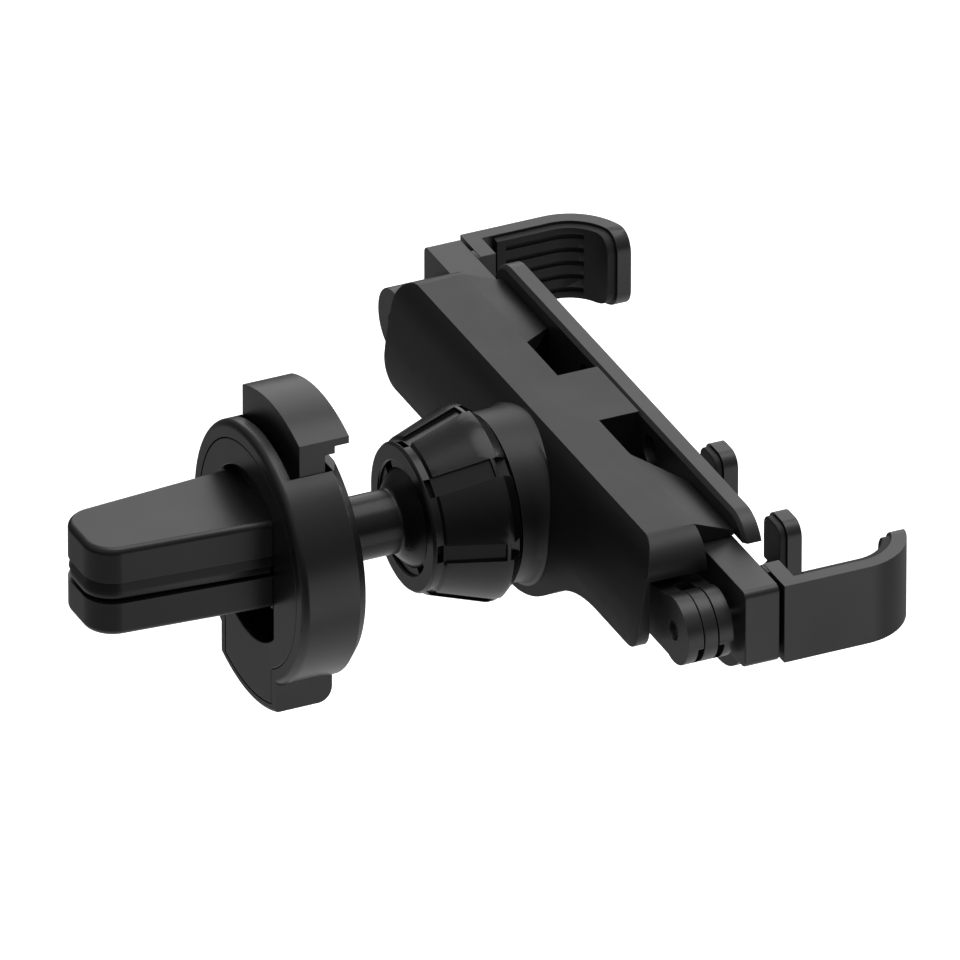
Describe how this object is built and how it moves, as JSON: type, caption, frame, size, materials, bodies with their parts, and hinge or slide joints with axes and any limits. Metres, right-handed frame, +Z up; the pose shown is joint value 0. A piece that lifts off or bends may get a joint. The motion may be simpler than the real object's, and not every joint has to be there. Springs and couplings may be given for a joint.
{
  "type": "phone holder",
  "caption": "Gravity phone holder for a car's air vent: clip on a ball joint, sliding side arms and feet that link them, so the phone's weight closes the arms",
  "frame": {"origin": "between the clip's jaws, where a vent blade sits", "axes": "+Y out of the jaws towards the vent, -Y the side that faces the user and carries the phone, +Z up"},
  "size_m": [0.1008, 0.0978, 0.0429],
  "materials": {
    "housing_plastic": "fine satin black moulding",
    "arm_plastic": "fine satin black moulding",
    "clip_plastic": "semi-gloss black moulding",
    "jaw_plastic": "semi-gloss black moulding",
    "nut_plastic": "semi-gloss black moulding",
    "stud_plastic": "semi-gloss black moulding",
    "link_plastic": "satin black moulding",
    "liner_acetal": "smooth black acetal",
    "rubber": "dull black silicone rubber",
    "pin_steel": "ground steel",
    "spring_steel": "drawn spring wire",
    "screw_steel": "black oxide screw"
  },
  "bodies": {
    "clip": {"clip_housing": "clip_plastic", "clip_cover": "clip_plastic", "upper_jaw": "jaw_plastic", "upper_jaw_pad": "rubber", "upper_jaw_pin": "pin_steel", "ball_stud": "stud_plastic", "button_spring": "spring_steel"},
    "button_body": {"thumb_button": "clip_plastic", "lower_jaw": "jaw_plastic", "lower_jaw_pad": "rubber", "lower_jaw_pin": "pin_steel"},
    "seat_body": {"ball_seat": "liner_acetal"},
    "claw_body": {"ball_claws": "liner_acetal"},
    "nut_body": {"ball_nut": "nut_plastic"},
    "cradle": {"rear_housing": "housing_plastic", "front_plate": "arm_plastic", "rest_pad": "rubber", "housing_screw_left": "screw_steel", "housing_screw_right": "screw_steel", "return_spring": "spring_steel"},
    "foot_body": {"foot_slide": "arm_plastic", "foot_pad_left": "rubber", "foot_pad_right": "rubber", "link_pin_left": "pin_steel", "link_pin_right": "pin_steel"},
    "arm_body_left": {"arm_slide_left": "arm_plastic", "arm_left": "arm_plastic", "arm_pad_left": "rubber", "knuckle_block_left": "link_plastic", "knuckle_pin_left": "pin_steel"},
    "link_body_left": {"link_left": "link_plastic"},
    "arm_body_right": {"arm_slide_right": "arm_plastic", "arm_right": "arm_plastic", "arm_pad_right": "rubber", "knuckle_block_right": "link_plastic", "knuckle_pin_right": "pin_steel"},
    "link_body_right": {"link_right": "link_plastic"}
  },
  "joints": [
    {"name": "button_press", "type": "slide", "parent": "clip", "child": "button_body", "axis": [0, 0, -1], "range_m": [0, 0.0025], "stiffness_N_per_m": 400, "springref_m": -0.002, "deforming": ["button_spring"]},
    {"name": "ball_roll", "type": "hinge", "parent": "clip", "child": "seat_body", "pos_m": [0, -0.0426, -0.0014], "axis": [0, 1, 0], "continuous": true},
    {"name": "ball_pan", "type": "hinge", "parent": "seat_body", "child": "claw_body", "pos_m": [0, -0.0426, -0.0014], "axis": [0, 0, 1], "range_deg": [-15, 15]},
    {"name": "ball_tilt", "type": "hinge", "parent": "claw_body", "child": "cradle", "pos_m": [0, -0.0426, -0.0014], "axis": [1, 0, 0], "range_deg": [-15, 15]},
    {"name": "nut_turn", "type": "hinge", "parent": "cradle", "child": "nut_body", "pos_m": [0, -0.0426, -0.0014], "axis": [0, 1, 0], "range_deg": [0, 90]},
    {"name": "foot_drop", "type": "slide", "parent": "cradle", "child": "foot_body", "axis": [0, 0, -1], "range_m": [0, 0.021], "stiffness_N_per_m": 30, "springref_m": -0.01, "deforming": ["return_spring"]},
    {"name": "arm_close_left", "type": "slide", "parent": "cradle", "child": "arm_body_left", "axis": [1, 0, 0], "range_m": [0, 0.014]},
    {"name": "link_turn_left", "type": "hinge", "parent": "arm_body_left", "child": "link_body_left", "pos_m": [-0.0438, -0.0587, 0.0006], "axis": [0, 1, 0], "range_deg": [0, 53.8]},
    {"name": "arm_close_right", "type": "slide", "parent": "cradle", "child": "arm_body_right", "axis": [-1, 0, 0], "range_m": [0, 0.014]},
    {"name": "link_turn_right", "type": "hinge", "parent": "arm_body_right", "child": "link_body_right", "pos_m": [0.0438, -0.0587, 0.0006], "axis": [0, -1, 0], "range_deg": [0, 53.8]}
  ],
  "couplings": [
    {"joint": "arm_close_left", "follows": "foot_drop", "ratio": 0.6666},
    {"joint": "link_turn_left", "follows": "foot_drop", "rad_per_m": 44.7},
    {"joint": "arm_close_right", "follows": "foot_drop", "ratio": 0.6666},
    {"joint": "link_turn_right", "follows": "foot_drop", "rad_per_m": 44.7}
  ]
}
